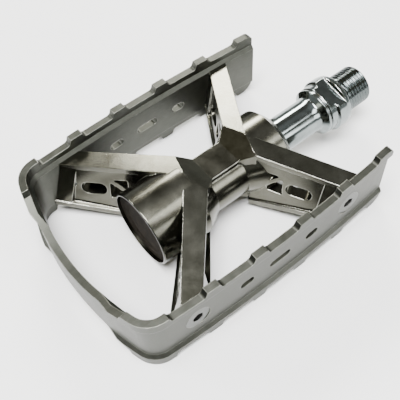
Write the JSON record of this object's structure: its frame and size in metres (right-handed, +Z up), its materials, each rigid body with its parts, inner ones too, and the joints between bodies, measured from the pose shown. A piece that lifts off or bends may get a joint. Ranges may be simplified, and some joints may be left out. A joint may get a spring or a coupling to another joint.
{
  "type": "cage platform pedal",
  "caption": "Double-sided bicycle pedal: a toothed strip cage screwed to a cast X-armed body that turns on a threaded spindle.",
  "frame": {"origin": "on the spindle's axis where its thread starts, just past the undercut", "axes": "+Y along the spindle towards the crank, +Z up, +X towards one side plate"},
  "size_m": [0.075, 0.125, 0.0276],
  "materials": {
    "cage": "satin",
    "casting": "polished",
    "spindle_chrome": "polished",
    "bearing_steel": "ground",
    "screws": "satin",
    "cap": "matte",
    "cover": "satin"
  },
  "bodies": {
    "spindle": {"spindle": "spindle_chrome", "outboard_cone": "bearing_steel", "tab_washer": "bearing_steel", "lock_nut": "bearing_steel"},
    "pedal_body": {"body_casting": "casting", "cage": "cage", "inboard_cup": "bearing_steel", "outboard_cup": "bearing_steel", "dust_cap": "cap", "dust_cover": "cover", "cage_screw_front_outboard": "screws", "cage_screw_back_outboard": "screws", "cage_screw_front_inboard": "screws", "cage_screw_back_inboard": "screws"},
    "inboard_balls": {"inboard_ball_01": "bearing_steel", "inboard_ball_02": "bearing_steel", "inboard_ball_03": "bearing_steel", "inboard_ball_04": "bearing_steel", "inboard_ball_05": "bearing_steel", "inboard_ball_06": "bearing_steel", "inboard_ball_07": "bearing_steel", "inboard_ball_08": "bearing_steel", "inboard_ball_09": "bearing_steel", "inboard_ball_10": "bearing_steel", "inboard_ball_11": "bearing_steel", "inboard_ball_12": "bearing_steel"},
    "outboard_balls": {"outboard_ball_01": "bearing_steel", "outboard_ball_02": "bearing_steel", "outboard_ball_03": "bearing_steel", "outboard_ball_04": "bearing_steel", "outboard_ball_05": "bearing_steel", "outboard_ball_06": "bearing_steel", "outboard_ball_07": "bearing_steel", "outboard_ball_08": "bearing_steel", "outboard_ball_09": "bearing_steel", "outboard_ball_10": "bearing_steel"}
  },
  "joints": [
    {"name": "body_spin", "type": "hinge", "parent": "spindle", "child": "pedal_body", "pos_m": [0, -0.0575, 0], "axis": [0, 1, 0], "continuous": true},
    {"name": "inboard_row", "type": "hinge", "parent": "spindle", "child": "inboard_balls", "pos_m": [0, -0.0372, 0], "axis": [0, 1, 0], "continuous": true},
    {"name": "outboard_row", "type": "hinge", "parent": "spindle", "child": "outboard_balls", "pos_m": [0, -0.0777, 0], "axis": [0, 1, 0], "continuous": true}
  ],
  "couplings": [
    {"joint": "inboard_row", "follows": "body_spin", "ratio": 0.614},
    {"joint": "outboard_row", "follows": "body_spin", "ratio": 0.642}
  ]
}
